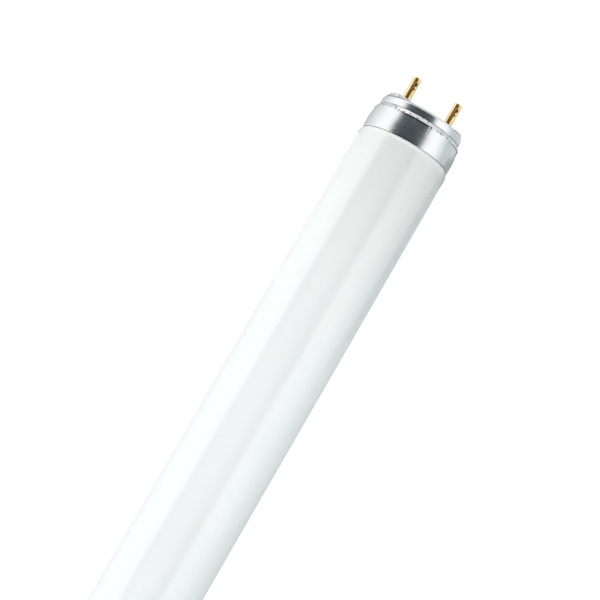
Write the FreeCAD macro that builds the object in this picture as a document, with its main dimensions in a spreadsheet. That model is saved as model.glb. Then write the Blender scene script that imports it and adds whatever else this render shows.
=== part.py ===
import FreeCAD, Part

import math
import os

import Sketcher

# Straight fluorescent tube of the 26 mm class with a two-pin cap at each end, 589 mm from cap face to cap face.
# Frame: origin at the middle of the tube on its axis, +X along the tube, +Z up, the pins of each end side by side
# along Y. All lengths are millimetres. The tube is the same at both ends, so every piece of an end is drawn at the
# +X end and the -X end's piece is the same drawing turned half a turn about Z.

V = FreeCAD.Vector
doc = FreeCAD.newDocument("fluorescent_tube")

# ---------------------------------------------------------------- driving dimensions
SIZES = [
    # glass
    ("lamp_length", 589.0, "cap face to cap face"),
    ("glass_od", 25.5, "barrel, outside diameter"),
    ("glass_wall", 0.6, "glass wall"),
    ("neck_od", 23.2, "glass neck inside the cap skirt"),
    ("neck_start", 11.48, "cap face to the corner where the barrel turns in"),
    ("shoulder_run", 1.19, "axial run of the sloped shoulder"),
    ("shoulder_round", 3.0, "round where the barrel turns in"),
    ("neck_round", 0.6, "round where the shoulder meets the neck"),
    ("glass_end", 4.2, "cap face to the sealed rim of the glass"),
    ("rim_mouth_r", 10.0, "radius of the flare's mouth at the sealed rim"),
    ("rim_depth", 1.1, "thickness of the fused rim"),
    ("rim_round", 0.45, "round of the fused rim"),
    ("flare_wall", 0.8, "wall of the flare and stem"),
    ("flare_depth", 11.5, "cap face to the foot of the flare"),
    ("flare_foot_r", 4.4, "radius of the flare at its foot, cap side"),
    ("stem_top", 15.5, "cap face to the start of the straight stem"),
    ("stem_bore_r", 3.6, "stem bore radius, cap side"),
    ("press_top", 21.5, "cap face to the bottom of the stem bore"),
    ("press_end", 28.5, "cap face to the inner end of the press"),
    ("press_flat", 3.6, "thickness of the flattened press"),
    ("press_flat_run", 5.5, "length of the flattened part"),
    ("exhaust_r", 2.0, "exhaust tube, outside radius"),
    ("exhaust_bore_r", 1.2, "exhaust tube, bore radius"),
    ("exhaust_cone", 7.4, "cap face to where the tip-off starts to narrow"),
    ("exhaust_tip", 5.9, "cap face to the tip-off"),
    ("exhaust_blind", 8.3, "cap face to the end of the exhaust bore"),
    ("exhaust_tip_r", 0.6, "radius of the tip-off"),
    # cap shell
    ("cap_len", 10.83, "cap skirt's edge to the cap face"),
    ("cap_od", 24.9, "skirt, outside diameter"),
    ("nose_od", 23.0, "nose, outside diameter"),
    ("cap_wall", 0.28, "sheet thickness"),
    ("taper_back", 7.6, "cap face to where the skirt starts to taper"),
    ("taper_lag", 0.017, "how far the sheet's inside corner lies behind that"),
    ("valley_back", 4.94, "cap face to the valley under the rolled lip"),
    ("valley_r", 12.12, "radius of that valley"),
    ("lip_back", 4.58, "cap face to the rolled lip of the shoulder"),
    ("lip_r", 12.24, "radius of the lip"),
    ("lip_lag", 0.1, "how far the sheet's inside corner lies behind the lip"),
    ("lip_drop", 0.35, "how far it lies inside the lip"),
    ("nose_foot", 3.43, "cap face to the crease at the foot of the nose"),
    ("crease_lag", 0.075, "how far the sheet's inside corner lies behind the crease"),
    ("crease_depth", 0.12, "depth of the crease's groove"),
    ("crease_front", 0.13, "front edge of that groove, before the crease"),
    ("crease_floor", 0.02, "bottom of that groove, before the crease"),
    ("crease_rear", 0.1, "rear edge of that groove, behind the crease"),
    ("crease_rise", 0.07, "height of the rear edge over the nose"),
    ("bevel_run", 0.68, "axial run of the bevel on the nose's front edge"),
    ("bevel_drop", 0.25, "how far that bevel comes in"),
    ("nose_round", 0.1, "round of the nose's front edge"),
    ("nose_round_in", 0.5, "inside of that round"),
    ("skirt_round", 0.2, "round of the skirt's outer edge"),
    ("skirt_round_in", 0.03, "broken inner edge of the skirt"),
    # pin platform pressed up in the cap's end
    ("platform_rise", 1.1, "height of the platform over the nose's end"),
    ("platform_end_r", 10.65, "radius of the platform's two curved ends, round the cap's axis"),
    ("platform_wid", 9.3, "platform across the row of pins"),
    ("platform_corner", 0.5, "corner radius in plan"),
    ("platform_draft", 0.35, "how far the platform's wall leans out between its edge and its foot"),
    ("platform_round", 0.12, "round of the platform's edge"),
    ("collar_hole_r", 2.6, "holes for the insulator's collars"),
    # insulator
    ("ins_gap", 0.05, "clearance of the insulator in the cap"),
    ("ins_disc_r", 10.9, "insulator disc radius"),
    ("ins_disc_thick", 1.8, "insulator disc thickness"),
    ("ins_edge", 0.4, "bevel on the disc's front edge"),
    ("collar_drop", 0.05, "collar's face below the platform face"),
    # contact pins
    ("pin_pitch", 12.7, "pin centre to pin centre"),
    ("pin_dia", 2.35, "pin diameter, free end"),
    ("pin_root_dia", 2.7, "pin diameter inside the insulator"),
    ("pin_len", 7.2, "pin in front of the cap face"),
    ("pin_tip_round", 0.5, "round of the pin's tip"),
    ("rivet_r", 1.75, "flared foot of the pin"),
    ("rivet_thick", 0.4, "thickness of that foot"),
    ("pin_bore_r", 0.65, "bore of the hollow pin"),
    ("pin_tip_solid", 1.3, "solid tip in front of the wire"),
    ("grip_len", 2.6, "length over which the crimp closes on the wire"),
    ("grip_cone", 0.4, "taper into the crimped part"),
    ("dent_a_from_tip", 2.1, "pin's tip to the middle of the first crimp dent"),
    ("dent_a_half_len", 0.8, "half length of that dent"),
    ("dent_a_half_wid", 0.74, "half width of that dent"),
    ("dent_a_depth", 0.3, "depth of that dent"),
    ("dent_b_from_tip", 3.38, "pin's tip to the middle of the second crimp dent"),
    ("dent_b_half_len", 0.45, "half length of that dent"),
    ("dent_b_half_wid", 0.62, "half width of that dent"),
    ("dent_b_depth", 0.24, "depth of that dent"),
    # cement and lead wires
    ("cement_start", 9.9, "cap face to the cement's outer edge"),
    ("cement_end", 5.6, "cap face to the cement's inner edge"),
    ("wire_dia", 0.5, "lead wire diameter"),
    ("wire_seat_r", 2.8, "lead wire's distance from the axis in the press"),
    ("wire_seal", 4.0, "length of wire sealed in the press"),
    ("wire_bend_from", 13.0, "cap face to the start of the wire's first bend"),
    ("wire_bend_r", 8.0, "bend radius of the wire"),
    ("wire_slope_deg", 30.0, "angle of the wire between its bends"),
]
sheet = doc.addObject("Spreadsheet::Sheet", "dims")
number = {}
for row, (name, value, note) in enumerate(SIZES, 1):
    sheet.set("A%d" % row, note)
    sheet.set("B%d" % row, repr(value))
    sheet.setAlias("B%d" % row, name)
    number[name] = value
doc.recompute()


class Dim:
    """A length that knows both its value and the formula, in terms of the sheet, that gives it."""

    def __init__(self, value, text):
        self.value, self.text = value, text

    def _with(self, other, sign, value):
        text = other.text if isinstance(other, Dim) else repr(float(other))
        return Dim(value, "(%s %s %s)" % (self.text, sign, text))

    def __add__(self, other):
        return self._with(other, "+", self.value + num(other))

    def __sub__(self, other):
        return self._with(other, "-", self.value - num(other))

    def __mul__(self, other):
        return self._with(other, "*", self.value * num(other))

    def __truediv__(self, other):
        return self._with(other, "/", self.value / num(other))


def num(x):
    return x.value if isinstance(x, Dim) else float(x)


def d(name):
    return Dim(number[name], "dims." + name)


def back(name):
    """The X of a plane that lies a sheet distance behind the +X cap face."""
    return d("lamp_length") / 2 - d(name)


ZERO = Dim(0.0, "0")
face_x = d("lamp_length") / 2
end_x = face_x - d("platform_rise")  # flat end of the cap's nose
tip_x = face_x + d("pin_len")


# ---------------------------------------------------------------- small drawing helpers
def bind(obj, prop, dim):
    obj.setExpression(prop, dim.text)


def new_body(label):
    body = doc.addObject("PartDesign::Body", label)
    body.Label = label
    return body


def origin(body, role):
    return next(f for f in body.Origin.OriginFeatures if f.Role == role)


def new_sketch(body, name, role, height=None):
    """A sketch on one of the body's own planes, at a height over it."""
    sk = body.newObject("Sketcher::SketchObject", body.Label + "_" + name)
    sk.AttachmentSupport = [(origin(body, role), "")]
    sk.MapMode = "FlatFace"
    if height is not None:
        sk.AttachmentOffset = FreeCAD.Placement(V(0, 0, num(height)), FreeCAD.Rotation())
        bind(sk, "AttachmentOffset.Base.z", height)
    return sk


def hold(sk, kind, *where_and_dim):
    """A dimension in a sketch, bound to the sheet."""
    *where, dim = where_and_dim
    index = sk.addConstraint(Sketcher.Constraint(kind, *where, num(dim)))
    sk.setExpression("Constraints[%d]" % index, dim.text)


def fix_point(sk, geo, end, x, y):
    """Holds a point at x, y from the sketch's origin. A zero is held on the axis."""
    for axis, kind, dim in ((-2, "DistanceX", x), (-1, "DistanceY", y)):
        if abs(num(dim)) < 1e-9:
            sk.addConstraint(Sketcher.Constraint("PointOnObject", geo, end, axis))
        elif num(dim) > 0:
            hold(sk, kind, -1, 1, geo, end, dim)
        else:
            hold(sk, kind, geo, end, -1, 1, Dim(-num(dim), "(0 - %s)" % dim.text))


def outline(sk, points):
    """A closed outline of straight lines through points, each held by its own X and Y."""
    first = sk.GeometryCount
    n = len(points)
    xy = [V(num(x), num(y), 0) for x, y in points]
    for i in range(n):
        sk.addGeometry(Part.LineSegment(xy[i], xy[(i + 1) % n]), False)
    for i in range(n):
        sk.addConstraint(Sketcher.Constraint("Coincident", first + i, 2, first + (i + 1) % n, 1))
    for i, (x, y) in enumerate(points):
        fix_point(sk, first + i, 1, x, y)


def ring(sk, x, y, radius):
    """A circle at x, y."""
    g = sk.addGeometry(Part.Circle(V(num(x), num(y), 0), V(0, 0, 1), num(radius)), False)
    hold(sk, "Radius", g, radius)
    fix_point(sk, g, 3, x, y)


def strip(sk, half_wid, end_r, corner):
    """A strip along the sketch's X: two straight sides, two ends on a circle round the origin, and round corners."""
    rise = half_wid - corner  # centres of the corners, up from the X axis
    r, big, side, up = num(corner), num(end_r), num(half_wid), num(rise)
    reach = math.sqrt((big - r) ** 2 - up * up)
    lean, half = math.atan2(up, reach), math.pi / 2

    def line(x0, x1, y):
        sk.addGeometry(Part.LineSegment(V(x0, y, 0), V(x1, y, 0)), False)

    def arc(x, y, radius, start, end):
        sk.addGeometry(Part.ArcOfCircle(Part.Circle(V(x, y, 0), V(0, 0, 1), radius), start, end), False)

    line(-reach, reach, -side)
    arc(reach, -up, r, -half, -lean)
    arc(0, 0, big, -lean, lean)
    arc(reach, up, r, lean, half)
    line(reach, -reach, side)
    arc(-reach, up, r, half, math.pi - lean)
    arc(0, 0, big, math.pi - lean, math.pi + lean)
    arc(-reach, -up, r, math.pi + lean, 3 * half)
    for i in range(8):
        sk.addConstraint(Sketcher.Constraint("Tangent", i, 2, (i + 1) % 8, 1))
    for i in (2, 6):
        fix_point(sk, i, 3, ZERO, ZERO)
        hold(sk, "Radius", i, end_r)
    for i in (1, 7):
        hold(sk, "Radius", i, corner)
        hold(sk, "DistanceY", i, 3, -1, 1, rise)
    for i in (3, 5):
        hold(sk, "Radius", i, corner)
        hold(sk, "DistanceY", -1, 1, i, 3, rise)


def turn(body, name, points):
    """A solid of revolution about the body's X axis from an outline of (x, radius) points."""
    sk = new_sketch(body, name + "_profile", "XY_Plane")
    outline(sk, points)
    rev = body.newObject("PartDesign::Revolution", body.Label + "_" + name)
    rev.Profile = sk
    rev.ReferenceAxis = (sk, ["H_Axis"])
    rev.Angle = 360.0
    doc.recompute()
    return rev


def extrude(body, kind, name, height, length, draw, reverse):
    """A pad or pocket along X from a sketch on the plane x = height. In the sketch X is the part's Y and Y is its Z."""
    sk = new_sketch(body, name + "_outline", "YZ_Plane", height)
    draw(sk)
    before = body.Shape.Volume
    f = body.newObject("PartDesign::" + kind, body.Label + "_" + name)
    f.Profile = sk
    f.Type = 0
    f.Length = num(length)
    bind(f, "Length", length)
    f.Reversed = reverse
    doc.recompute()
    change = body.Shape.Volume - before
    if (change > -1e-6) if kind == "Pocket" else (change < 1e-6):
        raise RuntimeError("%s %s changed the volume by %.4f" % (body.Label, name, change))
    return f


def soften(body, base, name, radius, wanted):
    """Rounds the edges of base that wanted() picks."""
    edges = ["Edge%d" % i for i, e in enumerate(base.Shape.Edges, 1) if wanted(e)]
    if not edges:
        raise RuntimeError("%s %s found no edge" % (body.Label, name))
    f = body.newObject("PartDesign::Fillet", body.Label + "_" + name)
    f.Base = (base, edges)
    f.Radius = num(radius)
    bind(f, "Radius", radius)
    doc.recompute()
    return f


def hoop(x, radius, both_ends=False):
    """Picks the circular edges about the X axis of this radius at this x."""
    x, radius = num(x), num(radius)

    def wanted(e):
        c = e.Curve
        if not isinstance(c, Part.Circle) or abs(abs(c.Axis.x) - 1) > 1e-6 or abs(c.Radius - radius) > 1e-4:
            return False
        at = abs(c.Center.x) if both_ends else c.Center.x
        return abs(at - x) < 1e-4 and abs(c.Center.y) < 1e-4 and abs(c.Center.z) < 1e-4

    return wanted


TURNED = {  # how a piece drawn at the +X end is turned to where it sits
    "right": FreeCAD.Rotation(),
    "left": FreeCAD.Rotation(V(0, 0, 1), 180),
    "right_rear": FreeCAD.Rotation(),
    "right_front": FreeCAD.Rotation(V(1, 0, 0), 180),
    "left_front": FreeCAD.Rotation(V(0, 0, 1), 180),
    "left_rear": FreeCAD.Rotation(V(0, 1, 0), 180),
}
ENDS = ("left", "right")
CORNERS = ("left_front", "left_rear", "right_front", "right_rear")


# ---------------------------------------------------------------- glass
# One fused piece: barrel, a neck at each end, and in each end a re-entrant stem. The stem's flare is fused to the
# rim of the neck, its inner end is pressed flat round the lead wires, and the exhaust tube comes back out through it
# and is tipped off inside the cap. Half of it is turned and the other half mirrored, which closes the bulb.
def make_glass():
    body = new_body("glass_tube")
    ro, rn, wall = d("glass_od") / 2, d("neck_od") / 2, d("glass_wall")
    x1 = back("neck_start")
    x2 = x1 + d("shoulder_run")
    lean = wall * 0.404  # tangent of half the shoulder's 44 degrees
    xe = back("glass_end")
    half = turn(
        body,
        "half",
        [
            (ZERO, ro - wall),
            (ZERO, ro),
            (x1, ro),
            (x2, rn),
            (xe, rn),
            (xe, d("rim_mouth_r")),
            (back("flare_depth"), d("flare_foot_r")),
            (back("stem_top"), d("stem_bore_r")),
            (back("press_top"), d("stem_bore_r")),
            (back("press_top"), d("exhaust_r")),
            (back("exhaust_cone"), d("exhaust_r")),
            (back("exhaust_tip"), d("exhaust_tip_r")),
            (back("exhaust_tip"), ZERO),
            (back("exhaust_blind"), ZERO),
            (back("exhaust_blind"), d("exhaust_bore_r")),
            (back("press_end"), d("exhaust_bore_r")),
            (back("press_end"), d("stem_bore_r") + d("flare_wall")),
            (back("stem_top"), d("stem_bore_r") + d("flare_wall")),
            (back("flare_depth") - d("flare_wall") * 0.61, d("flare_foot_r") + d("flare_wall") * 0.79),
            (xe - d("flare_wall") * 1.62, d("rim_mouth_r")),
            (xe - d("rim_depth"), rn - wall),
            (x2 - lean, rn - wall),
            (x1 - lean, ro - wall),
        ],
    )

    def wire_seats(sk):
        for sign in (1, -1):
            ring(sk, d("wire_seat_r") * sign, ZERO, d("wire_dia") / 2)

    seats = extrude(body, "Pocket", "wire_seats", back("press_top"), d("wire_seal"), wire_seats, False)

    def flats(sk):
        low, high, side = d("press_flat") / 2, Dim(6.0, "6"), Dim(6.0, "6")
        minus = Dim(-6.0, "(0 - 6)")
        outline(sk, [(minus, low), (side, low), (side, high), (minus, high)])
        nlow = Dim(-num(low), "(0 - %s)" % low.text)
        outline(sk, [(minus, minus), (side, minus), (side, nlow), (minus, nlow)])

    press = extrude(body, "Pocket", "press_flats", back("press_end"), d("press_flat_run"), flats, True)
    both = body.newObject("PartDesign::Mirrored", "glass_tube_both_ends")
    both.Originals = [half, seats, press]
    both.MirrorPlane = (origin(body, "YZ_Plane"), [""])
    body.Tip = both
    doc.recompute()
    turn_in = soften(body, both, "shoulder_round", d("shoulder_round"), hoop(x1, ro, True))
    foot = soften(body, turn_in, "neck_round", d("neck_round"), hoop(x2, rn, True))
    soften(body, foot, "rim_round", d("rim_round"), hoop(xe, rn, True))
    return body


# ---------------------------------------------------------------- cap shell
# Drawn from one sheet: a skirt over the glass neck that tapers a little towards its front, a shoulder rolled to a lip,
# a crease, a shorter and narrower nose with a bevelled front edge, and a platform with sloping walls pressed up in the nose's
# end with a hole for each of the insulator's collars.
def inside_of_skirt():
    """The two corners of the sheet's inside between which the skirt tapers, as (x, radius)."""
    front = back("lip_back") - d("lip_lag"), d("lip_r") - d("lip_drop")
    rear = back("taper_back") - d("taper_lag"), d("cap_od") / 2 - d("cap_wall")
    return front, rear


def make_cap(side):
    body = new_body(side + "_end_cap")
    body.Placement = FreeCAD.Placement(V(), TURNED[side])
    rs, rn, wall = d("cap_od") / 2, d("nose_od") / 2, d("cap_wall")
    edge, crease = back("cap_len"), back("nose_foot")
    front_in, rear_in = inside_of_skirt()
    bevel_r = rn - d("bevel_drop")
    shell = turn(
        body,
        "shell",
        [
            (edge, rs),
            (back("taper_back"), rs),
            (back("valley_back"), d("valley_r")),
            (back("lip_back"), d("lip_r")),
            (crease - d("crease_rear"), rn + d("crease_rise")),
            (crease + d("crease_floor"), rn - d("crease_depth")),
            (crease + d("crease_front"), rn),
            (end_x - d("bevel_run"), rn),
            (end_x, bevel_r),
            (end_x, ZERO),
            (end_x - wall, ZERO),
            (end_x - wall, rn - wall),
            (crease - d("crease_lag"), rn - wall),
            front_in,
            rear_in,
            (edge, rs - wall),
        ],
    )
    nose = soften(body, shell, "nose_round", d("nose_round"), hoop(end_x, bevel_r))
    nose_in = soften(body, nose, "nose_round_in", d("nose_round_in"), hoop(end_x - wall, rn - wall))
    skirt = hoop(edge, rs)
    skirt_in = hoop(edge, rs - wall)
    outer = soften(body, nose_in, "skirt_round", d("skirt_round"), skirt)
    soften(body, outer, "skirt_round_in", d("skirt_round_in"), skirt_in)

    def stamp(inset):
        return lambda sk: strip(sk, d("platform_wid") / 2 - inset, d("platform_end_r") - inset, d("platform_corner") - inset)

    draft = d("platform_draft")
    block = extrude(body, "Pad", "platform", end_x, d("platform_rise"), stamp(ZERO - draft), False)
    lean = -math.degrees(math.atan2(num(draft), number["platform_rise"]))
    block.TaperAngle = lean
    bind(block, "TaperAngle", Dim(lean, "0 deg - atan(%s / %s)" % (draft.text, d("platform_rise").text)))
    doc.recompute()

    def on_face(e):
        box = e.BoundBox
        return box.XLength < 1e-6 and abs(box.Center.x - num(face_x)) < 1e-4

    soften(body, block, "platform_round", d("platform_round"), on_face)
    extrude(body, "Pocket", "platform_hollow", end_x - wall, d("platform_rise"), stamp(wall), True)

    def collar_holes(sk):
        for sign in (1, -1):
            ring(sk, d("pin_pitch") / 2 * sign, ZERO, d("collar_hole_r"))

    extrude(body, "Pocket", "collar_holes", face_x, wall * 2, collar_holes, False)
    return body


# ---------------------------------------------------------------- insulator
# Moulded bridge: a disc behind the cap's end, a block that fills the platform from behind, and a collar round each
# pin that comes through the platform's holes and stops just short of its face.
def make_insulator(side):
    body = new_body(side + "_pin_insulator")
    body.Placement = FreeCAD.Placement(V(), TURNED[side])
    front = end_x - d("cap_wall")
    rear = front - d("ins_disc_thick")
    r, bevel = d("ins_disc_r"), d("ins_edge")
    turn(body, "disc", [(rear, ZERO), (rear, r), (front - bevel, r), (front, r - bevel), (front, ZERO)])
    inset = d("cap_wall") + d("ins_gap")

    def block(sk):
        strip(sk, d("platform_wid") / 2 - inset, d("platform_end_r") - inset, d("platform_corner") - inset)

    extrude(body, "Pad", "block", front, d("platform_rise"), block, False)

    def pair(radius):
        def draw(sk):
            for sign in (1, -1):
                ring(sk, d("pin_pitch") / 2 * sign, ZERO, radius)

        return draw

    extrude(
        body,
        "Pad",
        "collars",
        front + d("platform_rise"),
        d("cap_wall") - d("collar_drop"),
        pair(d("collar_hole_r") - d("ins_gap")),
        False,
    )
    through = d("ins_disc_thick") + d("platform_rise") + d("cap_wall")
    extrude(body, "Pocket", "pin_holes", face_x, through, pair(d("pin_root_dia") / 2), False)
    return body


# ---------------------------------------------------------------- contact pins
# Drawn brass, hollow from the foot, closed and rounded at the tip. The root is a little thicker where the insulator
# grips it, and the foot is flared behind the insulator. Two dents in a row on
# each of two opposite sides close the bore on the lead wire, so the bore narrows there to the wire's diameter.
def make_pin(corner):
    body = new_body(corner + "_contact_pin")
    rot = TURNED[corner]
    body.Placement = FreeCAD.Placement(rot.multVec(V(0, number["pin_pitch"] / 2, 0)), rot)
    sign = 1 if rot.multVec(V(0, 1, 0)).y > 0 else -1
    bind(body, "Placement.Base.y", d("pin_pitch") / 2 * sign)
    r = d("pin_dia") / 2
    seat = end_x - d("cap_wall") - d("ins_disc_thick")
    foot = seat - d("rivet_thick")
    blind = tip_x - d("pin_tip_solid")
    grip = blind - d("grip_len")
    pin = turn(
        body,
        "drawn",
        [
            (foot, d("pin_bore_r")),
            (foot, d("rivet_r")),
            (seat, d("rivet_r")),
            (seat, d("pin_root_dia") / 2),
            (face_x - d("collar_drop"), d("pin_root_dia") / 2),
            (face_x - d("collar_drop"), r),
            (tip_x, r),
            (tip_x, ZERO),
            (blind, ZERO),
            (blind, d("wire_dia") / 2),
            (grip, d("wire_dia") / 2),
            (grip - d("grip_cone"), d("pin_bore_r")),
        ],
    )
    soften(body, pin, "tip_round", d("pin_tip_round"), hoop(tip_x, r))
    for name, sign in (("upper", 1), ("lower", -1)):
        for which in ("dent_a", "dent_b"):
            before = body.Shape.Volume
            dent = body.newObject("PartDesign::SubtractiveEllipsoid", "%s_%s_%s" % (body.Label, which, name))
            for prop, size in (("Radius1", "_depth"), ("Radius2", "_half_len"), ("Radius3", "_half_wid")):
                setattr(dent, prop, number[which + size])
                bind(dent, prop, d(which + size))
            middle = tip_x - d(which + "_from_tip")
            dent.Placement = FreeCAD.Placement(V(num(middle), 0, sign * num(r)), FreeCAD.Rotation())
            bind(dent, "Placement.Base.x", middle)
            bind(dent, "Placement.Base.z", r * sign)
            doc.recompute()
            if body.Shape.Volume > before - 1e-6:
                raise RuntimeError("%s %s cut nothing" % (body.Label, which))
    return body


# ---------------------------------------------------------------- cement
# Cured ring between the glass neck and the cap's skirt, to whose tapering inside it is moulded.
def make_cement(side):
    body = new_body(side + "_cement_ring")
    body.Placement = FreeCAD.Placement(V(), TURNED[side])
    low, high = d("neck_od") / 2, d("cap_od") / 2 - d("cap_wall")
    a, b = back("cement_start"), back("cement_end")
    (front_x, front_r), (rear_x, rear_r) = inside_of_skirt()
    at_b = front_r + (rear_r - front_r) * ((front_x - b) / (front_x - rear_x))
    turn(body, "ring", [(a, low), (b, low), (b, at_b), (rear_x, rear_r), (a, high)])
    return body


# ---------------------------------------------------------------- lead wires
# From the seal in the press straight out of the stem, out across the flare in two bends, and up the pin's bore.
def make_wire(corner):
    body = new_body(corner + "_lead_wire")
    body.Placement = FreeCAD.Placement(V(), TURNED[corner])
    y0, y1 = d("wire_seat_r"), d("pin_pitch") / 2
    start, stop = back("press_top") - d("wire_seal"), tip_x - d("pin_tip_solid")
    bend, radius, slope = back("wire_bend_from"), d("wire_bend_r"), d("wire_slope_deg")
    a = math.radians(num(slope))
    r = num(radius)
    p1 = V(num(bend), num(y0), 0)
    c1 = p1 + V(0, r, 0)
    p2 = c1 + V(r * math.sin(a), -r * math.cos(a), 0)
    rise = num(y1) - num(y0) - 2 * r * (1 - math.cos(a))
    p3 = p2 + V(rise / math.tan(a), rise, 0)
    c2 = p3 + V(r * math.sin(a), -r * math.cos(a), 0)
    p4 = c2 + V(0, r, 0)
    sk = new_sketch(body, "route", "XY_Plane")
    z = V(0, 0, 1)
    sk.addGeometry(Part.LineSegment(V(num(start), num(y0), 0), p1), False)
    sk.addGeometry(Part.ArcOfCircle(Part.Circle(c1, z, r), -math.pi / 2, -math.pi / 2 + a), False)
    sk.addGeometry(Part.LineSegment(p2, p3), False)
    sk.addGeometry(Part.ArcOfCircle(Part.Circle(c2, z, r), math.pi / 2, math.pi / 2 + a), False)
    sk.addGeometry(Part.LineSegment(p4, V(num(stop), num(y1), 0)), False)
    for joint in ((0, 2, 1, 1), (1, 2, 2, 1), (2, 2, 3, 2), (3, 1, 4, 1)):
        sk.addConstraint(Sketcher.Constraint("Tangent", *joint))
    for line in (0, 4):
        sk.addConstraint(Sketcher.Constraint("Horizontal", line))
    fix_point(sk, 0, 1, start, y0)
    fix_point(sk, 4, 2, stop, y1)
    hold(sk, "DistanceX", -1, 1, 0, 2, bend)
    hold(sk, "Radius", 1, radius)
    hold(sk, "Radius", 3, radius)
    angle = sk.addConstraint(Sketcher.Constraint("Angle", 2, a))
    sk.setExpression("Constraints[%d]" % angle, slope.text + " * 1 deg")
    section = new_sketch(body, "section", "YZ_Plane", start)
    ring(section, y0, ZERO, d("wire_dia") / 2)
    doc.recompute()
    pipe = body.newObject("PartDesign::AdditivePipe", body.Label + "_drawn")
    pipe.Profile = section
    pipe.Spine = (sk, [])
    doc.recompute()
    run = sum(e.Length for e in sk.Shape.Edges)
    want = run * math.pi * (number["wire_dia"] / 2) ** 2
    if abs(body.Shape.Volume / want - 1) > 0.01:
        raise RuntimeError("%s volume %.4f, section times length %.4f" % (body.Label, body.Shape.Volume, want))
    return body


bodies = [make_glass()]
for side in ENDS:
    bodies += [make_cap(side), make_insulator(side), make_cement(side)]
for corner in CORNERS:
    bodies += [make_pin(corner), make_wire(corner)]

# ---------------------------------------------------------------- check and write
doc.recompute()
bad = [o.Label for o in doc.Objects if "Invalid" in o.State or "Error" in o.State]
if bad:
    raise RuntimeError("failed objects: %s" % bad)
for sk in doc.Objects:
    if sk.TypeId == "Sketcher::SketchObject":
        sk.solve()
        if sk.FullyConstrained is False:
            print("not fully held:", sk.Label)
os.makedirs("parts", exist_ok=True)
for body in bodies:
    shape = body.Shape
    if shape.isNull() or not shape.isValid() or len(shape.Solids) != 1:
        raise RuntimeError("%s has no valid single solid" % body.Label)
    shape.exportStep("parts/%s.step" % body.Label)
    b = shape.BoundBox
    print(
        "%-28s %10.2f mm3  x %.2f..%.2f  y %.2f..%.2f  z %.2f..%.2f"
        % (body.Label, shape.Volume, b.XMin, b.XMax, b.YMin, b.YMax, b.ZMin, b.ZMax)
    )
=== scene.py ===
"""Fluorescent tube lying on a pale floor: finished meshes, materials, studio light and camera."""

import math
import random

import bmesh
import bpy
from mathutils import Matrix, Vector
from mathutils.geometry import tessellate_polygon


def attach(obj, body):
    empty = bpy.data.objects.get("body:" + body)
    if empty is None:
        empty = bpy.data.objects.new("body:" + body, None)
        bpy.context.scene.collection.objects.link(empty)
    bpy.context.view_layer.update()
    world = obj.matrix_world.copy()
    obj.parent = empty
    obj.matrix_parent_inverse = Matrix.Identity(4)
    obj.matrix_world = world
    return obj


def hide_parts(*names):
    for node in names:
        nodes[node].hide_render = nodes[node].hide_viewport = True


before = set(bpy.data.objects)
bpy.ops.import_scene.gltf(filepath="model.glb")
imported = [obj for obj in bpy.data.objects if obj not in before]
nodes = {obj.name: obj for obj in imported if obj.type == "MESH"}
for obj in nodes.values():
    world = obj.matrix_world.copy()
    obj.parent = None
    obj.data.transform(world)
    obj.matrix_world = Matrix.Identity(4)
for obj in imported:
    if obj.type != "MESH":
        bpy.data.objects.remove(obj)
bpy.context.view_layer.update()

MM = 0.001
TAU = math.tau

# ------------------------------------------------------------------ sizes, in millimetres from the lamp's middle
FACE = 294.5  # the platform's face, and the plane the lamp's length is taken to
NOSE_END = FACE - 1.1
CREASE = FACE - 3.43
LIP = FACE - 4.58
TAPER = FACE - 7.6
SKIRT_EDGE = FACE - 10.83
PIN_TIP = FACE + 7.2
GLASS_R, NECK_R, WALL = 12.75, 11.6, 0.6
NECK_START, RIM = FACE - 11.48, FACE - 4.2
CAP_R, LIP_R, NOSE_R, SHEET = 12.45, 12.24, 11.5, 0.28
PIN_Y, PIN_R = 6.35, 1.175


# ------------------------------------------------------------------ mesh helpers
def rounded(corners, step=6.0, closed=False):
    """Corners are (a, b) or (a, b, radius). Returns the line through them with each radius drawn as an arc."""
    out = []
    count = len(corners)
    for i, corner in enumerate(corners):
        p = Vector(corner[:2])
        radius = corner[2] if len(corner) > 2 else 0.0
        if radius <= 0 or (not closed and i in (0, count - 1)):
            out.append((p.x, p.y))
            continue
        u = (Vector(corners[i - 1][:2]) - p).normalized()
        v = (Vector(corners[(i + 1) % count][:2]) - p).normalized()
        half = u.angle(v) / 2
        centre = p + (u + v).normalized() * (radius / math.sin(half))
        begin = p + u * (radius / math.tan(half)) - centre
        turn = math.pi - 2 * half
        if begin.x * (v.y - u.y) - begin.y * (v.x - u.x) < 0:
            turn = -turn
        steps = max(2, math.ceil(math.degrees(abs(turn)) / step))
        for k in range(steps + 1):
            a = turn * k / steps
            c, s = math.cos(a), math.sin(a)
            out.append((centre.x + begin.x * c - begin.y * s, centre.y + begin.x * s + begin.y * c))
    return out


def supported(line, gap=0.06):
    """Adds a point close to each end of every long span, so that shading stays flat on it."""
    out = [line[0]]
    for a, b in zip(line, line[1:]):
        length = math.hypot(b[0] - a[0], b[1] - a[1])
        if length > 6 * gap:
            for t in (gap / length, 1 - gap / length):
                out.append((a[0] + (b[0] - a[0]) * t, a[1] + (b[1] - a[1]) * t))
        out.append(b)
    return out


def divided(line, longest):
    """Cuts every span longer than that into equal lengths."""
    out = [line[0]]
    for a, b in zip(line, line[1:]):
        n = max(1, math.ceil(math.hypot(b[0] - a[0], b[1] - a[1]) / longest))
        out.extend((a[0] + (b[0] - a[0]) * k / n, a[1] + (b[1] - a[1]) * k / n) for k in range(1, n + 1))
    return out


def hoop(bm, points):
    return [bm.verts.new(p) for p in points]


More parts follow.
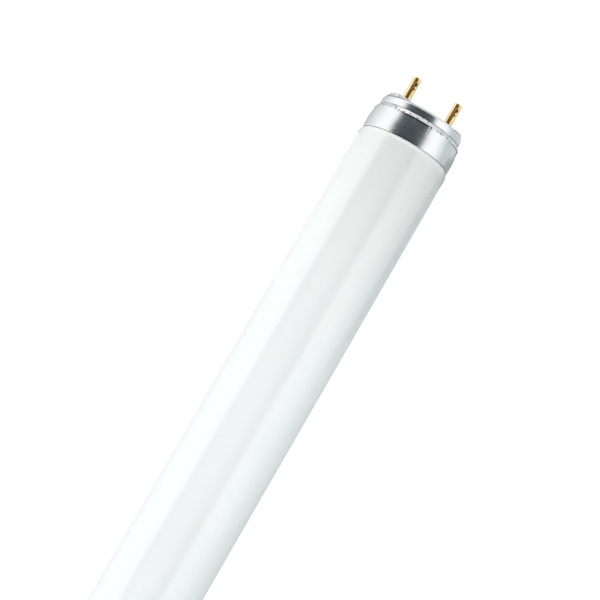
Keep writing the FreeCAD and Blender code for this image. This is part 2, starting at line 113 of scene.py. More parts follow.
def bridge(bm, low, high):
    """Quads, or triangles at a pole, between two rings. The outside is on the left of the way from low to high."""
    n = max(len(low), len(high))
    for j in range(n):
        k = (j + 1) % n
        if len(low) == 1 and len(high) == 1:
            return
        if len(low) == 1:
            bm.faces.new((low[0], high[k], high[j]))
        elif len(high) == 1:
            bm.faces.new((low[j], low[k], high[0]))
        else:
            bm.faces.new((low[j], low[k], high[k], high[j]))


def lathe(bm, line, segments, bend=None):
    """Turns a line of (x, radius) about the X axis."""
    last = None
    for x, r in line:
        if r < 1e-6:
            ring = hoop(bm, [(x, 0, 0)])
        else:
            points = []
            for j in range(segments):
                t = TAU * j / segments
                p = (x, r * math.cos(t), r * math.sin(t))
                points.append(bend(p) if bend else p)
            ring = hoop(bm, points)
        if last:
            bridge(bm, last, ring)
        last = ring


def finish_mesh(name, bm, sharp_deg=32.0):
    """Millimetres to metres, smooth shading that breaks at the sharp edges, and an object in the scene."""
    bmesh.ops.scale(bm, vec=(MM, MM, MM), verts=bm.verts)
    bm.normal_update()
    limit = math.radians(sharp_deg)
    for face in bm.faces:
        face.smooth = True
    for edge in bm.edges:
        if len(edge.link_faces) == 2 and edge.calc_face_angle(0.0) > limit:
            edge.smooth = False
    mesh = bpy.data.meshes.new(name)
    bm.to_mesh(mesh)
    bm.free()
    mesh.validate()
    obj = bpy.data.objects.new(name, mesh)
    bpy.context.scene.collection.objects.link(obj)
    return obj


def half_turn(obj):
    """The same piece at the lamp's other end: half a turn about the Z axis."""
    obj.data.transform(Matrix.Rotation(math.pi, 4, "Z"))
    return obj


# ------------------------------------------------------------------ node helpers
class Shader:
    """A node material on one Principled shader, with object-space coordinates in millimetres."""

    def __init__(self, name, **sockets):
        self.mat = bpy.data.materials.new(name)
        self.mat.use_nodes = True
        self.tree = self.mat.node_tree
        self.bsdf = self.tree.nodes["Principled BSDF"]
        for key, value in sockets.items():
            self.bsdf.inputs[key.replace("_", " ")].default_value = value
        self.coord = self.node("ShaderNodeTexCoord").outputs["Object"]

    def node(self, kind, **settings):
        n = self.tree.nodes.new(kind)
        for key, value in settings.items():
            setattr(n, key, value)
        return n

    def link(self, a, b):
        self.tree.links.new(a, b)

    def noise(self, scale, detail=3.0, roughness=0.55, vector=None):
        """Noise with so many features per millimetre along each axis."""
        m = self.node("ShaderNodeMapping")
        m.inputs["Scale"].default_value = tuple(s / MM for s in scale)
        self.link(vector or self.coord, m.inputs["Vector"])
        n = self.node("ShaderNodeTexNoise")
        n.inputs["Scale"].default_value = 1.0
        n.inputs["Detail"].default_value = detail
        n.inputs["Roughness"].default_value = roughness
        self.link(m.outputs["Vector"], n.inputs["Vector"])
        return n.outputs["Fac"]

    def ramp(self, source, low, high, to_low=0.0, to_high=1.0, smooth=False):
        n = self.node("ShaderNodeMapRange")
        n.interpolation_type = "SMOOTHSTEP" if smooth else "LINEAR"
        n.clamp = True
        for key, value in (("From Min", low), ("From Max", high), ("To Min", to_low), ("To Max", to_high)):
            n.inputs[key].default_value = value
        self.link(source, n.inputs["Value"])
        return n.outputs["Result"]

    def math(self, operation, a, b=None):
        n = self.node("ShaderNodeMath", operation=operation)
        for i, value in enumerate((a, b)):
            if value is None:
                continue
            if isinstance(value, (int, float)):
                n.inputs[i].default_value = value
            else:
                self.link(value, n.inputs[i])
        return n.outputs["Value"]

    def blend(self, factor, a, b):
        n = self.node("ShaderNodeMix", data_type="RGBA")
        self.link(factor, n.inputs["Factor"])
        for key, value in ((6, a), (7, b)):
            if isinstance(value, tuple):
                n.inputs[key].default_value = (*value, 1.0)
            else:
                self.link(value, n.inputs[key])
        return n.outputs[2]

    def colour(self, source):
        self.link(source, self.bsdf.inputs["Base Color"])

    def rough(self, source):
        self.link(source, self.bsdf.inputs["Roughness"])

    def bump(self, *layers):
        """Layers are (height, strength, distance in millimetres), the first one deepest."""
        normal = None
        for height, strength, distance in layers:
            n = self.node("ShaderNodeBump")
            n.inputs["Strength"].default_value = strength
            n.inputs["Distance"].default_value = distance * MM
            self.link(height, n.inputs["Height"])
            if normal:
                self.link(normal, n.inputs["Normal"])
            normal = n.outputs["Normal"]
        self.link(normal, self.bsdf.inputs["Normal"])
        return normal


def coated_glass():
    """Clear glass over a white powder coat, a little greyer towards each end, which is painted shade."""
    s = Shader("coated_glass", IOR=1.5, Coat_Weight=1.0, Coat_Roughness=0.03, Coat_IOR=1.5)
    axes = s.node("ShaderNodeSeparateXYZ")
    s.link(s.coord, axes.inputs["Vector"])
    along = s.math("ABSOLUTE", axes.outputs["X"])
    # painted shade: the coat's colour greys towards each end, and most at the shoulder under the cap
    near = s.math("POWER", s.ramp(along, 0.212, 0.2835), 1.7)
    end_shade = s.math("MULTIPLY", near, s.ramp(along, 0.2815, 0.2835, 1.0, 1.25))
    end = s.math("MULTIPLY", end_shade, s.ramp(axes.outputs["Y"], 0.0055, 0.0105, 1.0, 0.5, smooth=True))  # painted light: on the +Y side the painted end shade is halved
    cloud = s.noise((0.035, 0.09, 0.09), 4.0, 0.6)
    grain = s.noise((2.4, 2.4, 2.4), 2.0, 0.5)
    body = s.blend(s.ramp(cloud, 0.3, 0.7), (0.852, 0.886, 0.878), (0.875, 0.908, 0.9))
    ends = s.blend(s.ramp(cloud, 0.3, 0.7), (0.70, 0.708, 0.695), (0.722, 0.73, 0.717))
    s.colour(s.blend(end, body, ends))
    s.rough(s.ramp(grain, 0.3, 0.7, 0.13, 0.2))
    wave = s.noise((0.018, 0.05, 0.05), 2.0, 0.4)
    normal = s.bump((wave, 0.2, 0.08), (grain, 0.03, 0.006))
    s.link(normal, s.bsdf.inputs["Coat Normal"])
    return s.mat


def cap_aluminium():
    """Drawn aluminium sheet: satin on the skirt and nose, burnished on the rolled shoulder, with painted shade in the
    creases, grooves and nicks and along some edges.
    """
    s = Shader("cap_aluminium", Metallic=1.0)
    axes = s.node("ShaderNodeSeparateXYZ")
    s.link(s.coord, axes.inputs["Vector"])
    along = s.math("ABSOLUTE", axes.outputs["X"])
    rolled = s.math("MULTIPLY", s.ramp(along, 0.28977, 0.28992), s.ramp(along, 0.2910, 0.2911, 1.0, 0.0))
    grain = s.noise((0.25, 5.0, 5.0), 3.0, 0.6)
    cloud = s.noise((0.22, 0.22, 0.22), 4.0, 0.62)
    speck = s.noise((1.6, 1.6, 1.6), 3.0, 0.7)
    painted_shade = s.node("ShaderNodeAttribute", attribute_name="painted_shade").outputs["Fac"]
    tone = s.blend(s.ramp(cloud, 0.3, 0.72), (0.845, 0.857, 0.867), (0.88, 0.887, 0.893))
    worn = s.blend(s.ramp(speck, 0.62, 0.78), tone, (0.80, 0.815, 0.83))
    # the flat of the nose's end and of the platform is pressed matt, with the faint rings of a turned tool
    low = s.math("MULTIPLY", s.ramp(along, 0.29337, 0.29338), s.ramp(along, 0.29342, 0.29343, 1.0, 0.0))
    flat = s.math("MAXIMUM", low, s.ramp(along, 0.29447, 0.29448))
    reach = s.math("SQRT", s.math("ADD", s.math("POWER", axes.outputs["Y"], 2.0), s.math("POWER", axes.outputs["Z"], 2.0)))
    rings = s.math("SINE", s.math("MULTIPLY", reach, TAU / (0.42 * MM)))
    matt = s.blend(s.ramp(s.math("ADD", cloud, s.math("MULTIPLY", rings, 0.05)), 0.3, 0.7), (0.63, 0.643, 0.655), (0.74, 0.75, 0.757))
    # painted shade: the vertex layer read above darkens the colour nearly to black
    s.colour(s.blend(painted_shade, s.blend(flat, worn, matt), (0.04, 0.042, 0.045)))
    satin = s.ramp(s.math("ADD", s.math("MULTIPLY", cloud, 0.7), s.math("MULTIPLY", grain, 0.3)), 0.3, 0.7, 0.2, 0.3)
    s.rough(s.math("ADD", s.math("SUBTRACT", satin, s.math("MULTIPLY", rolled, 0.1)), s.math("MULTIPLY", flat, 0.12)))
    s.bump((cloud, 0.08, 0.12), (speck, 0.06, 0.03), (grain, 0.04, 0.02))
    return s.mat


def pin_brass():
    """Polished drawn brass with faint draw lines and duller spots, with painted dark brown shade in the crimps and a
    painted dark brown reflection along the top and bottom lines beside them.
    """
    s = Shader("pin_brass", Metallic=1.0, Coat_Weight=0.4, Coat_Roughness=0.1, Coat_IOR=1.5)
    draw = s.noise((0.4, 9.0, 9.0), 2.0, 0.5)
    spot = s.noise((0.9, 0.9, 0.9), 4.0, 0.65)
    dent_shade = s.node("ShaderNodeAttribute", attribute_name="dent_shade").outputs["Fac"]
    clean = s.blend(s.ramp(spot, 0.35, 0.75), (0.99, 0.84, 0.47), (0.965, 0.74, 0.32))
    core_reflection = s.node("ShaderNodeAttribute", attribute_name="core_reflection").outputs["Fac"]
    # painted shade in the crimps and a painted dark reflection along the strip, both over the clean brass
    s.colour(s.blend(dent_shade, s.blend(core_reflection, clean, (0.5, 0.235, 0.045)), (0.4, 0.16, 0.03)))
    # the painted dark reflection strip is also made less metallic
    s.link(s.math("SUBTRACT", 1.0, s.math("MULTIPLY", core_reflection, 0.22)), s.bsdf.inputs["Metallic"])
    s.rough(s.ramp(spot, 0.3, 0.75, 0.14, 0.28))
    s.bump((spot, 0.18, 0.05), (draw, 0.10, 0.015))
    return s.mat


def moulded_insulator():
    """Pale grey moulded resin with a fine mould texture."""
    s = Shader("moulded_insulator", IOR=1.5)
    cloud = s.noise((0.3, 0.3, 0.3), 3.0, 0.6)
    grain = s.noise((5.0, 5.0, 5.0), 2.0, 0.5)
    s.colour(s.blend(s.ramp(cloud, 0.3, 0.7), (0.60, 0.605, 0.60), (0.70, 0.705, 0.70)))
    s.rough(s.ramp(grain, 0.3, 0.7, 0.38, 0.55))
    s.bump((grain, 0.2, 0.03))
    return s.mat


def cement():
    """Baked tan cement, granular and matt."""
    s = Shader("basing_cement")
    cloud = s.noise((0.5, 0.5, 0.5), 4.0, 0.65)
    grain = s.noise((3.0, 3.0, 3.0), 3.0, 0.6)
    s.colour(s.blend(s.ramp(cloud, 0.3, 0.7), (0.46, 0.40, 0.31), (0.60, 0.54, 0.44)))
    s.rough(s.ramp(grain, 0.3, 0.7, 0.75, 0.95))
    s.bump((grain, 0.5, 0.12))
    return s.mat


def wire_metal():
    """Dull nickel-plated lead wire."""
    s = Shader("lead_wire_metal", Metallic=1.0)
    draw = s.noise((0.8, 12.0, 12.0), 2.0, 0.5)
    cloud = s.noise((0.7, 0.7, 0.7), 3.0, 0.6)
    s.colour(s.blend(s.ramp(cloud, 0.3, 0.7), (0.56, 0.55, 0.52), (0.68, 0.66, 0.63)))
    s.rough(s.ramp(draw, 0.3, 0.7, 0.28, 0.42))
    s.bump((draw, 0.15, 0.01))
    return s.mat


# ------------------------------------------------------------------ glass
# One closed wall: the barrel, the rounded shoulder down to each neck, the flare back inside, the stem and the sealed
# exhaust tip, with the evacuated space as its inner skin.
def build_glass():
    out = rounded(
        [
            (0, GLASS_R),
            (NECK_START, GLASS_R, 3.0),
            (NECK_START + 1.19, NECK_R, 0.6),
            (RIM, NECK_R, 0.45),
            (RIM, 10.0),
            (FACE - 11.5, 4.4),
            (FACE - 15.5, 3.6),
            (FACE - 21.5, 3.6),
            (FACE - 21.5, 2.0),
            (FACE - 7.4, 2.0),
            (FACE - 5.9, 0.6),
            (FACE - 5.9, 0),
        ],
        step=4.0,
    )
    out = [(0, GLASS_R)] + [p for p in supported(out[:-1], 0.08)[1:]] + [out[-1]]
    lean = WALL * 0.404
    inner = [
        (FACE - 8.3, 0),
        (FACE - 8.3, 1.2),
        (FACE - 28.5, 1.2),
        (FACE - 28.5, 4.4),
        (FACE - 15.5, 4.4),
        (FACE - 11.5 - 0.8 * 0.61, 4.4 + 0.8 * 0.79),
        (RIM - 0.8 * 1.62, 10.0),
        (RIM - 1.1, NECK_R - WALL),
        (NECK_START + 1.19 - lean, NECK_R - WALL),
        (NECK_START - lean, GLASS_R - WALL),
    ]
    bm = bmesh.new()
    lathe(bm, divided([(-x, r) for x, r in reversed(out)][:-1] + out[1:], 12.0), 256)
    lathe(bm, divided(inner + [(-x, r) for x, r in reversed(inner)], 40.0), 96)
    return finish_mesh("glass_barrel", bm)


# ------------------------------------------------------------------ cap shell
TURNS = 720


def strip_at(angle, half, end, corner):
    """Where a ray from the middle meets a strip with straight sides, ends on a circle and round corners, as (y, z)."""
    c, s = abs(math.cos(angle)), abs(math.sin(angle))
    cz = half - corner
    cy = math.sqrt((end - corner) ** 2 - cz * cz)
    if s * cy <= c * cz:  # out through an end
        t = end
    elif s * cy >= c * half:  # out through a straight side
        t = half / s
    else:
        d = c * cy + s * cz
        t = d + math.sqrt(max(0.0, d * d - (cy * cy + cz * cz - corner * corner)))
    return math.copysign(c * t, math.cos(angle)), math.copysign(s * t, math.sin(angle))


def build_cap(name, seed):
    dice = random.Random(seed)
    # small nicks that the rolling of the shoulder leaves: (angle, x, half width round, half length along, depth)
    dents = []
    for k in range(92):
        if dice.random() < 0.15:
            continue
        dents.append(
            (
                TAU * (k + dice.uniform(-0.48, 0.48)) / 92,
                dice.choice((LIP + 0.02, LIP + 0.15, LIP + 0.3, CREASE - 0.3)) + dice.uniform(-0.1, 0.1),
                dice.uniform(0.12, 0.24),
                dice.uniform(0.16, 0.36),
                dice.uniform(0.06, 0.15),
            )
        )
    waves = [(dice.randint(3, 26), dice.uniform(0, TAU)) for k in range(6)]

    def patchy(t):
        """How strong the painted shade is round the crease, between 0.35 and 1."""
        return 0.675 + 0.325 * max(-1.0, min(1.0, sum(math.sin(n * t + a) for n, a in waves) / 2.2))

    # a few shallow knocks on the nose
    for k in range(9):
        dents.append((dice.uniform(0, TAU), dice.uniform(291.9, 292.5), dice.uniform(0.2, 0.4), dice.uniform(0.2, 0.35), dice.uniform(0.015, 0.035)))
    slope = math.sqrt(0.5)

    def dented(p):
        """The point after the notches, and how much painted shade it gets."""
        x, y, z = p
        painted_shade = 0.0
        # painted shade is strongest on two opposite sides of the cap
        shade_side = min(1.0, max(0.0, abs(0.342 * y + 0.94 * z) / math.hypot(y, z) - 0.92) / 0.06)
        # painted shade in the crease and in the groove under the lip
        for low, high, amount in ((CREASE - 0.09, CREASE + 0.11, 1.0), (LIP - 0.34, LIP - 0.04, 0.2 + 0.65 * shade_side)):
            if low < x < high:
                painted_shade = amount * patchy(math.atan2(z, y))
        # painted shadow along the skirt's lower edge
        if x < SKIRT_EDGE + 0.2:
            painted_shade = 0.85 * shade_side
        if x > NOSE_END - 0.24 and math.hypot(y, z) > 11.12:  # painted shade on the nose's rim, stronger towards the two ends of the platform
            painted_shade = 0.85 * min(1.0, max(0.0, (abs(y) / math.hypot(y, z) - 0.5) / 0.3))
        if not 289.2 < x < 293.0:
            return (*p, painted_shade)
        r = math.hypot(y, z)
        t = math.atan2(z, y) % TAU
        drop = 0.0
        for angle, cx, wide, long, depth in dents:
            gap = (t - angle + math.pi) % TAU - math.pi
            if abs(gap) * r > 2.5 * wide or abs(x - cx) > 2.5 * long:
                continue
            drop = max(drop, depth * math.exp(-((gap * r / wide) ** 2) - ((x - cx) / long) ** 2))
        if not drop:
            return (*p, painted_shade)
        lean = min(1.0, max(0.0, (x - LIP + 0.5) / 0.6)) if x < CREASE else 0.0
        k = (r - drop * (1 - lean * (1 - slope))) / r
        # painted shade in the nicks below the crease, deeper nicks darker
        return (x - drop * slope * lean, y * k, z * k, max(painted_shade, 0.75 * min(1.0, drop / 0.08) if x < CREASE else 0.0))

    outer = rounded(
        [
            (SKIRT_EDGE, CAP_R - 0.23),
            (SKIRT_EDGE, CAP_R, 0.2),
            (SKIRT_EDGE + 0.3, CAP_R),
            (TAPER, CAP_R, 8.0),
            (LIP - 0.36, LIP_R - 0.12, 0.25),
            (LIP, LIP_R, 0.06),
            (CREASE - 0.1, NOSE_R + 0.07, 0.05),
            (CREASE + 0.02, NOSE_R - 0.12, 0.04),
            (CREASE + 0.13, NOSE_R, 0.05),
            (NOSE_END - 0.68, NOSE_R, 0.6),
            (NOSE_END - 0.32, NOSE_R - 0.1324),
            (NOSE_END - 0.22, NOSE_R - 0.1691),
            (NOSE_END, NOSE_R - 0.25, 0.1),
            (NOSE_END, 11.08),
        ],
        step=9.0,
    )
    outer = supported(outer, 0.05)
    fine = [p for p in outer if LIP - 0.6 < p[0] < CREASE - 0.1]
    first = outer.index(fine[0])
    outer = outer[:first] + divided(fine, 0.11) + outer[first + len(fine):]
    inner = rounded(
        [
            (NOSE_END - SHEET, 10.6),
            (NOSE_END - SHEET, NOSE_R - SHEET, 0.5),
            (CREASE - 0.075, NOSE_R - SHEET),
            (LIP - 0.1, LIP_R - 0.35),
            (TAPER - 0.017, CAP_R - SHEET),
            (SKIRT_EDGE, CAP_R - SHEET, 0.03),
            (SKIRT_EDGE, CAP_R - 0.23),
        ],
        step=22.5,
    )

    bm = bmesh.new()
    angles = [TAU * j / TURNS for j in range(TURNS)]

    shade_layer = bm.verts.layers.float.new("painted_shade")

    def round_ring(x, r):
        found = [dented((x, r * math.cos(t), r * math.sin(t))) for t in angles]
        ring = hoop(bm, [p[:3] for p in found])
        for v, p in zip(ring, found):
            v[shade_layer] = p[3]
        return ring

    def strip_ring(x, inset):
        pts = [strip_at(t, 4.65 - inset, 10.65 - inset, 0.5 - inset) for t in angles]
        return hoop(bm, [(x, y, z) for y, z in pts])

    rings = [round_ring(x, r) for x, r in outer]
    # foot of the platform, its sloping wall, its rounded edge, with painted shade at the foot
    draft = math.atan2(0.35, FACE - NOSE_END)
    rings.append(strip_ring(NOSE_END, -0.42))
    for up, foot_shade in ((0, 0.9), (0.05, 0.7), (0.14, 0), (FACE - NOSE_END - 0.2, 0)):
        rings.append(strip_ring(NOSE_END + up, up * math.tan(draft) - 0.35))
        for v in rings[-1]:
            v[shade_layer] = foot_shade
    bend = 0.12 * math.tan(math.pi / 4 - draft / 2)
    for k in range(7):
        a = draft + (math.pi / 2 - draft) * k / 6
        rings.append(strip_ring(FACE - 0.12 + 0.12 * math.sin(a), bend - 0.12 * math.cos(a)))
        # patchy painted shade on the lower part of the rounded edge
        if k < 5:
            for v, angle in zip(rings[-1], angles):
                v[shade_layer] = max(0.0, 1.5 * patchy(2 * angle + 1) - 0.55)
    brim = strip_ring(FACE, 0.15)
    rings.append(brim)
    for low, high in zip(rings, rings[1:]):
        bridge(bm, low, high)

    # the platform's face and its underside, each with the two collar holes
    def holes(x):
        found = []
        for side in (1, -1):
            ring = []
            for j in range(64):
                t = TAU * j / 64
                ring.append((x, side * PIN_Y + 2.6 * math.cos(t), 2.6 * math.sin(t)))
            found.append(hoop(bm, ring))
        return found

    def plate(edge, x, inset, openings, towards):
        """Closes a strip ring with a flat plate round the openings, keeping few points along its straight sides."""
        half = 4.65 - inset
        kept, spots = [], []
        for j, t in enumerate(angles):
            straight = abs(strip_at(t, half, 10.65 - inset, 0.5 - inset)[1]) > half - 1e-6
            if straight and j % 20:
                continue
            deep = inset + (0.11 if straight and j // 20 % 2 else 0.06)
            kept.append(j)
            spots.append((x, *strip_at(t, 4.65 - deep, 10.65 - deep, 0.5 - deep)))
        core = hoop(bm, spots)

        def triangle(a, b, c):
            across = (b.co - a.co).cross(c.co - a.co)
            bm.faces.new((a, b, c) if across.x * towards > 0 else (a, c, b))

        for k, a in enumerate(kept):
            b = kept[k + 1] if k + 1 < len(kept) else kept[0] + TURNS
            near, far = core[k], core[(k + 1) % len(core)]
            mid = (a + b) // 2
            for j in range(a, b):
                triangle(edge[j % TURNS], edge[(j + 1) % TURNS], near if j < mid else far)
            triangle(near, edge[mid % TURNS], far)
        loops = [core] + openings
        flat = [v for loop in loops for v in loop]
        for tri in tessellate_polygon([[Vector((v.co.y, v.co.z, 0)) for v in loop] for loop in loops]):
            triangle(*(flat[i] for i in tri))

    face_holes = holes(FACE)
    plate(brim, FACE, 0.15, face_holes, 1)
    back_edge = strip_ring(FACE - SHEET, SHEET)
    back_holes = holes(FACE - SHEET)
    plate(back_edge, FACE - SHEET, SHEET, back_holes, -1)
    for front, rear in zip(face_holes, back_holes):
        bridge(bm, front, rear)
    # inside of the shell, back down to the skirt's edge
    rings = [back_edge, strip_ring(NOSE_END - SHEET, SHEET)]
    rings += [hoop(bm, [(x, r * math.cos(t), r * math.sin(t)) for t in angles]) for x, r in inner[:-1]]
    for low, high in zip(rings, rings[1:]):
        bridge(bm, low, high)
    bm.verts.ensure_lookup_table()
    first = bm.verts[:TURNS]
    bridge(bm, rings[-1], list(first))
    return finish_mesh(name, bm)


# ------------------------------------------------------------------ contact pin
def build_pin(name, side_y):
    """Hollow drawn pin, closed at the tip, with two crimp dents in a row on each of two opposite sides."""
    crimps = ((PIN_TIP - 2.1, 0.8, 0.74, 0.30), (PIN_TIP - 3.38, 0.45, 0.62, 0.24))  # middle, half length, half width, depth

    def dent_at(x, y):
        return min(math.hypot((x - mid) / long, y / wide) for mid, long, wide, deep in crimps)

    def dented(p):
        x, y, z = p
        if math.hypot(y, z) < PIN_R - 0.05:
            return p
        for mid, long, wide, deep in crimps:
            q = math.hypot((x - mid) / long, y / wide)
            if q < 1:
                k = min(1.0, max(0.0, (q - 0.45) / 0.55))
                floor = PIN_R - deep * (1 - k * k * (3 - 2 * k))
                return (x, y, math.copysign(min(abs(z), floor), z))
        return p

    seat = NOSE_END - SHEET - 1.8
    foot = seat - 0.4
    blind = PIN_TIP - 1.3
    grip = blind - 2.6
    line = [(blind, 0), (blind, 0.25), (grip, 0.25), (grip - 0.4, 0.65), (foot, 0.65)]
    line += [(foot, 1.75), (seat, 1.75), (seat, 1.35), (FACE - 0.05, 1.35), (FACE - 0.05, PIN_R)]
    shaft = rounded([(FACE - 0.05, PIN_R), (PIN_TIP, PIN_R, 0.5), (PIN_TIP, 0.05), (PIN_TIP, 0)], step=9.0)
    line += divided([(FACE - 0.05, PIN_R), (FACE + 2.9, PIN_R)], 0.6)[1:]
    line += divided([(FACE + 2.9, PIN_R), (FACE + 6.5, PIN_R)], 0.07)[1:]
    line += shaft[1:-2] + [(PIN_TIP, 0.6), (PIN_TIP, 0)]
    bm = bmesh.new()
    lathe(bm, line, 112, dented)
    dent_shade = bm.verts.layers.float.new("dent_shade")
    core_reflection = bm.verts.layers.float.new("core_reflection")
    # painted shade in the crimp dents, and a painted dark reflection in a strip along the pin's top and bottom lines
    for v in bm.verts:
        if abs(v.co.z) > PIN_R * 0.5 and v.co.x > FACE:
            v[dent_shade] = max(0.0, min(0.9, (1.0 - dent_at(v.co.x, v.co.y)) * 2.0))
            off = abs(math.copysign(1, v.co.z) * v.co.y - 0.2)
            clear = min(1.0, max(0.0, (PIN_TIP - 0.45 - v.co.x) / 0.25))  # the painted strip stops short of the tip
            v[core_reflection] = min(1.0, max(0.0, (0.56 - off) / 0.3)) * (1.0 - v[dent_shade]) * clear
    bmesh.ops.translate(bm, vec=(0, side_y * PIN_Y, 0), verts=bm.verts)
    return finish_mesh(name, bm)


# ------------------------------------------------------------------ put the pieces in place
def place(obj, mat, node):
    obj.data.materials.clear()
    obj.data.materials.append(mat)
    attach(obj, "root")
    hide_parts(node)


aluminium, brass = cap_aluminium(), pin_brass()
place(build_glass(), coated_glass(), "glass_tube")
place(build_cap("right_cap_shell", 11), aluminium, "right_end_cap")
place(half_turn(build_cap("left_cap_shell", 23)), aluminium, "left_end_cap")
place(build_pin("right_rear_pin_brass", 1), brass, "right_rear_contact_pin")
place(build_pin("right_front_pin_brass", -1), brass, "right_front_contact_pin")
place(half_turn(build_pin("left_front_pin_brass", 1)), brass, "left_front_contact_pin")
place(half_turn(build_pin("left_rear_pin_brass", -1)), brass, "left_rear_contact_pin")

resin, mortar, nickel = moulded_insulator(), cement(), wire_metal()
for name, obj in nodes.items():
    for ending, mat in (("_pin_insulator", resin), ("_cement_ring", mortar), ("_lead_wire", nickel)):
        if name.endswith(ending):
            obj.data.materials.clear()
            obj.data.materials.append(mat)

# ------------------------------------------------------------------ floor and light
scene = bpy.context.scene
scene.view_settings.view_transform = "Standard"
scene.view_settings.look = "None"
scene.view_settings.exposure = 0.0
scene.view_settings.gamma = 1.0

LOW = -12.75 * MM


def sheet_of(name, x0, x1, y0, y1, z):
    bm = bmesh.new()
    bm.faces.new([bm.verts.new(p) for p in ((x0, y0, z), (x1, y0, z), (x1, y1, z), (x0, y1, z))])
    mesh = bpy.data.meshes.new(name)
    bm.to_mesh(mesh)
    bm.free()
    obj = bpy.data.objects.new(name, mesh)
    scene.collection.objects.link(obj)
    return obj


def glow(name, colour, strength, diffuse):
    """A pale surface that is lit from behind as well as from the front."""
    mat = bpy.data.materials.new(name)
    mat.use_nodes = True
    bsdf = mat.node_tree.nodes["Principled BSDF"]
    bsdf.inputs["Base Color"].default_value = (*diffuse, 1)
    bsdf.inputs["Roughness"].default_value = 0.9
    bsdf.inputs["Specular IOR Level"].default_value = 0.0
    bsdf.inputs["Emission Color"].default_value = (*colour, 1)
    bsdf.inputs["Emission Strength"].default_value = strength
    return mat


floor = sheet_of("floor", -7, 7, -7, 7, LOW)
floor.data.materials.append(glow("floor_white", (1, 1, 1), 0.84, (0.4, 0.4, 0.4)))


def shaded_card(name, x0, x1, y0, y1, tint, stops):
    """A card on the floor that only the lamp's own surfaces see, with its brightness given at distances across, in metres."""
    card = sheet_of(name, x0, x1, y0, y1, LOW + 0.2 * MM)
    card.visible_camera = False
    card.visible_shadow = False
    mat = bpy.data.materials.new(name)
    mat.use_nodes = True
    tree = mat.node_tree
    tree.nodes.remove(tree.nodes["Principled BSDF"])
    coord = tree.nodes.new("ShaderNodeTexCoord")
    axes = tree.nodes.new("ShaderNodeSeparateXYZ")
    tree.links.new(coord.outputs["Object"], axes.inputs[0])
    span = tree.nodes.new("ShaderNodeMath")
    span.operation = "ABSOLUTE"
    tree.links.new(axes.outputs["Y"], span.inputs[0])
    scaled = tree.nodes.new("ShaderNodeMath")
    scaled.operation = "MULTIPLY"
    scaled.inputs[1].default_value = 1 / stops[-1][0]
    tree.links.new(span.outputs[0], scaled.inputs[0])
    ramp = tree.nodes.new("ShaderNodeValToRGB")
    line = ramp.color_ramp
    while len(line.elements) < len(stops):
        line.elements.new(0.5)
    for element, (distance, level) in zip(line.elements, stops):
        element.position = distance / stops[-1][0]
        element.color = (*(level / 1.5 * c for c in tint), 1)
    tree.links.new(scaled.outputs[0], ramp.inputs[0])
    light = tree.nodes.new("ShaderNodeEmission")
    light.inputs["Strength"].default_value = 1.5
    tree.links.new(ramp.outputs["Color"], light.inputs["Color"])
    tree.links.new(light.outputs[0], tree.nodes["Material Output"].inputs["Surface"])
    card.data.materials.append(mat)


NEAR, END, BEYOND = 0.24, 0.284, 0.3
shaded_card("card_left", -7, NEAR, 0.004, 7, (1, 1, 1), [(0.012, 0.85), (0.03, 1.0), (0.083, 1.15), (0.3, 1.25)])
shaded_card("card_left_near", NEAR, END, 0.004, 7, (1, 1, 1), [(0.012, 0.92), (0.03, 1.05), (0.083, 1.35), (0.3, 1.35)])
shaded_card("card_left_end", END, BEYOND, 0.004, 7, (1, 1, 1), [(0.012, 0.5), (0.014, 0.56), (0.024, 0.78), (0.038, 0.95), (0.083, 1.15), (0.3, 1.2)])
shaded_card("card_left_beyond", BEYOND, 7, 0.004, 7, (1, 1, 1), [(0.02, 0.72), (0.035, 0.9), (0.06, 1.08), (0.3, 1.15)])
shaded_card("card_right", -7, NEAR, -7, -0.004, (0.93, 1, 1), [(0.014, 0.62), (0.02, 0.64), (0.052, 0.6), (0.15, 0.6), (0.4, 0.6)])
shaded_card("card_right_near", NEAR, END, -7, -0.004, (0.88, 1, 1), [(0.014, 0.62), (0.02, 0.64), (0.032, 0.58), (0.05, 0.36), (0.15, 0.34), (0.4, 0.4)])
shaded_card("card_right_end", END, 0.2965, -7, -0.004, (0.91, 1, 1), [(0.014, 0.34), (0.02, 0.38), (0.052, 0.42), (0.15, 0.46), (0.4, 0.5)])
shaded_card("card_right_mid", 0.2965, 0.304, -7, -0.004, (0.93, 1, 1), [(0.014, 0.5), (0.024, 0.74), (0.042, 0.76), (0.06, 0.5), (0.15, 0.48), (0.4, 0.5)])
shaded_card("card_right_beyond", 0.304, 7, -7, -0.004, (0.95, 1, 1), [(0.02, 0.75), (0.042, 0.76), (0.06, 0.68), (0.3, 0.68)])


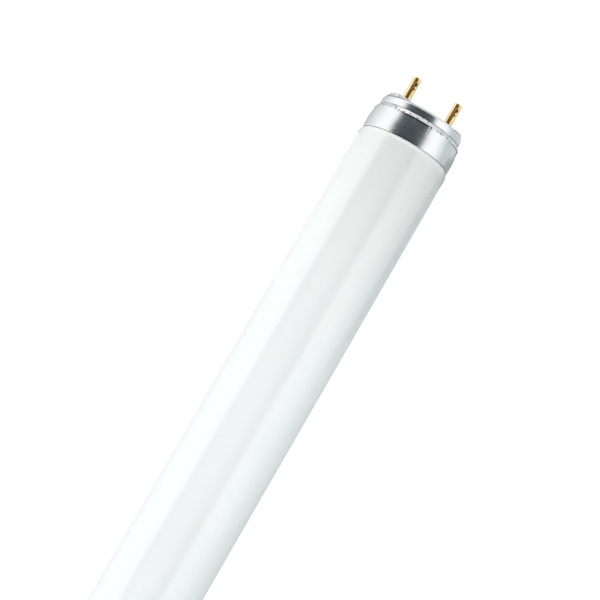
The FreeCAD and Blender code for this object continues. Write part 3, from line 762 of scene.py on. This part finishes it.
def studio():
    """Two long soft boxes, one on each side, with a dark ceiling between them and light beyond the lamp's ends."""
    world = bpy.data.worlds.new("studio")
    scene.world = world
    world.use_nodes = True
    tree = world.node_tree
    back = tree.nodes["Background"]

    def math_node(operation, a, b=None):
        n = tree.nodes.new("ShaderNodeMath")
        n.operation = operation
        for i, value in enumerate((a, b)):
            if isinstance(value, (int, float)):
                n.inputs[i].default_value = value
            elif value is not None:
                tree.links.new(value, n.inputs[i])
        return n.outputs[0]

    coord = tree.nodes.new("ShaderNodeTexCoord")
    axes = tree.nodes.new("ShaderNodeSeparateXYZ")
    tree.links.new(coord.outputs["Generated"], axes.inputs[0])
    across = math_node("ARCTAN2", math_node("MULTIPLY", axes.outputs["Y"], -1.0), axes.outputs["Z"])
    place_on = math_node("ADD", math_node("DIVIDE", across, TAU), 0.5)
    dark, black, white = (0.046, 0.056, 0.065), (0.008, 0.009, 0.01), (1, 1, 1)
    soft, grey, cool = (0.82, 0.85, 0.85), (0.5, 0.57, 0.575), (0.42, 0.5, 0.505)

    def round_the_lamp(ceiling):
        ramp = tree.nodes.new("ShaderNodeValToRGB")
        tree.links.new(place_on, ramp.inputs[0])
        stops = [(-180, white), (-71, white), (-65.5, ceiling), (15.0, ceiling), (20.0, white), (50, white), (63, soft), (79, grey), (90, cool)]
        line = ramp.color_ramp
        while len(line.elements) < len(stops):
            line.elements.new(0.5)
        for element, (angle, colour) in zip(line.elements, stops):
            element.position = (angle + 180) / 360
            element.color = (*colour, 1)
        return ramp.outputs["Color"]

    # the ceiling is darker over the lamp's length than over its end
    over = tree.nodes.new("ShaderNodeMapRange")
    over.interpolation_type = "SMOOTHSTEP"
    over.inputs["From Min"].default_value = -0.32
    over.inputs["From Max"].default_value = -0.08
    tree.links.new(axes.outputs["X"], over.inputs["Value"])
    sky = tree.nodes.new("ShaderNodeMix")
    sky.data_type = "RGBA"
    tree.links.new(over.outputs["Result"], sky.inputs["Factor"])
    tree.links.new(round_the_lamp(black), sky.inputs[6])
    tree.links.new(round_the_lamp(dark), sky.inputs[7])
    ends = tree.nodes.new("ShaderNodeMapRange")
    ends.interpolation_type = "SMOOTHSTEP"
    ends.inputs["From Min"].default_value = 0.62
    ends.inputs["From Max"].default_value = 0.77
    tree.links.new(axes.outputs["X"], ends.inputs["Value"])
    mix = tree.nodes.new("ShaderNodeMix")
    mix.data_type = "RGBA"
    tree.links.new(ends.outputs["Result"], mix.inputs["Factor"])
    tree.links.new(sky.outputs[2], mix.inputs[6])
    mix.inputs[7].default_value = (0.7, 0.71, 0.72, 1)
    tree.links.new(mix.outputs[2], back.inputs["Color"])
    back.inputs["Strength"].default_value = 1.15


studio()

# broad fill from the upper left, too soft to show as a highlight
fill = bpy.data.lights.new("fill", "SUN")
fill.energy = 2.16
fill.angle = math.radians(50)
fill_obj = bpy.data.objects.new("fill", fill)
scene.collection.objects.link(fill_obj)
aim = Vector((0.5, math.sin(math.radians(27)), math.cos(math.radians(27))))
fill_obj.rotation_euler = aim.to_track_quat("Z", "Y").to_euler()
fill_obj.visible_glossy = False
fill_obj.visible_camera = False

# ------------------------------------------------------------------ camera
ROLL, TILT, DISTANCE, SPAN = math.radians(13), math.radians(11.8), 4.0, 0.1536
along = Vector((1, 0, 0))
right_of = Vector((0, -math.cos(ROLL), math.sin(ROLL)))
towards = Vector((0, math.sin(ROLL), math.cos(ROLL)))
back_to = towards * math.cos(TILT) - along * math.sin(TILT)
up_tube = along * math.cos(TILT) + towards * math.sin(TILT)
cam_right = up_tube * 0.5 + right_of * math.sqrt(0.75)
cam_up = up_tube * math.sqrt(0.75) - right_of * 0.5
rim_px = (423.0, 118.05)  # where a point on the axis just behind the cap's face falls in a frame of 600 by 600
offset = cam_right * ((300 - rim_px[0]) / 600 * SPAN) + cam_up * ((rim_px[1] - 300) / 600 * SPAN)
aim_at = Vector(((FACE - 0.95) * MM, 0, 0)) + offset
cam = bpy.data.cameras.new("camera")
cam.sensor_width = 36.0
cam.lens = 36.0 * DISTANCE / SPAN
cam.clip_start, cam.clip_end = 0.05, 60.0
cam_obj = bpy.data.objects.new("camera", cam)
scene.collection.objects.link(cam_obj)
spot = aim_at + back_to * DISTANCE
turned = Matrix((cam_right, cam_up, back_to)).transposed().to_4x4()
turned.translation = spot
cam_obj.matrix_world = turned
scene.camera = cam_obj
